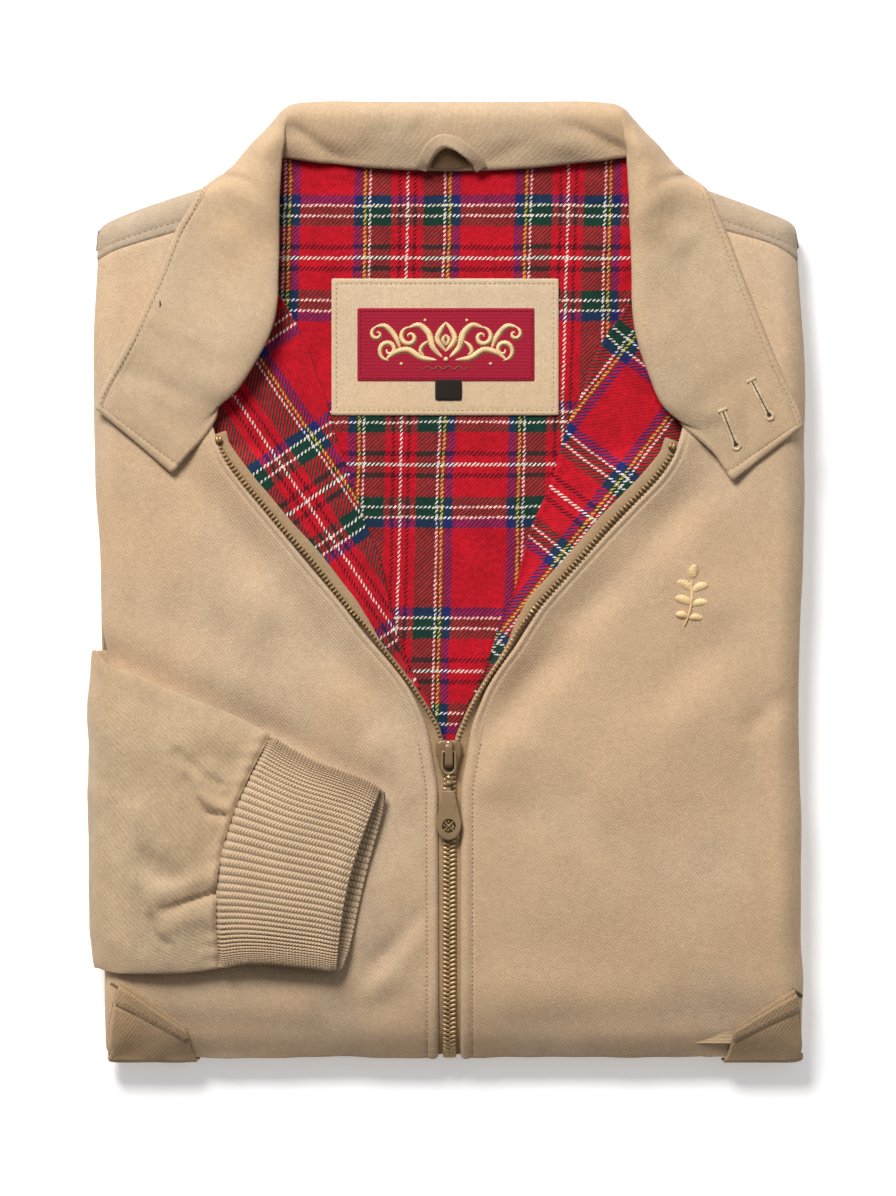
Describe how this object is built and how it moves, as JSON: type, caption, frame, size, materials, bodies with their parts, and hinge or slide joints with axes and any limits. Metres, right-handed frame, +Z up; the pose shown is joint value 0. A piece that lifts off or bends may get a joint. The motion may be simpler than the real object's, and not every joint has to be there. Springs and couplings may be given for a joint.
{
  "type": "folded harrington jacket",
  "caption": "Harrington jacket folded flat: open stand collar over a tartan-lined neck, half-open zip, ribbed cuff of one sleeve laid across the front.",
  "frame": {"origin": "centre of the flat underside of the folded jacket, on the surface it lies on", "axes": "+Z up out of the surface, +Y towards the collar, +X towards the wearer's left"},
  "size_m": [0.3781, 0.5078, 0.0481],
  "materials": {
    "khaki_twill": "washed cotton twill, matt",
    "rib_knit": "rib knit, matt",
    "tartan": "brushed tartan twill",
    "hidden_layers": "folded layers of the shell cloth",
    "label_red": "woven label",
    "tab_black": "woven label",
    "gold_thread": "embroidery thread, satin",
    "zip_tape": "woven tape",
    "brass": "bright zip teeth",
    "painted_metal": "satin paint over metal"
  },
  "bodies": {
    "jacket": {"front_right": "khaki_twill", "front_left": "khaki_twill", "back": "khaki_twill", "sleeve_right": "khaki_twill", "collar": "khaki_twill", "pocket_welt_right": "khaki_twill", "pocket_welt_left": "khaki_twill", "neck_patch": "khaki_twill", "hanger_loop": "khaki_twill", "folded_layers": "hidden_layers", "cuff_right": "rib_knit", "waistband": "rib_knit", "lining_back": "tartan", "lining_front_right": "tartan", "lining_front_left": "tartan", "woven_label": "label_red", "size_tab": "tab_black", "chest_motif": "gold_thread", "zip_tape_right": "zip_tape", "zip_tape_left": "zip_tape", "zip_teeth_right": "brass", "zip_teeth_left": "brass", "zip_chain": "brass", "top_stop_right": "brass", "top_stop_left": "brass", "slider": "painted_metal"},
    "pull_link": {"pull_link": "painted_metal"},
    "pull_tab": {"pull_tab": "painted_metal"}
  },
  "joints": [
    {"name": "pull_link_swing", "type": "hinge", "parent": "jacket", "child": "pull_link", "pos_m": [0.0009, -0.0894, 0.0363], "axis": [-1, 0, 0], "range_deg": [0, 120]},
    {"name": "pull_tab_swing", "type": "hinge", "parent": "pull_link", "child": "pull_tab", "pos_m": [0.0009, -0.106, 0.0363], "axis": [-1, 0, 0], "range_deg": [0, 60]}
  ]
}
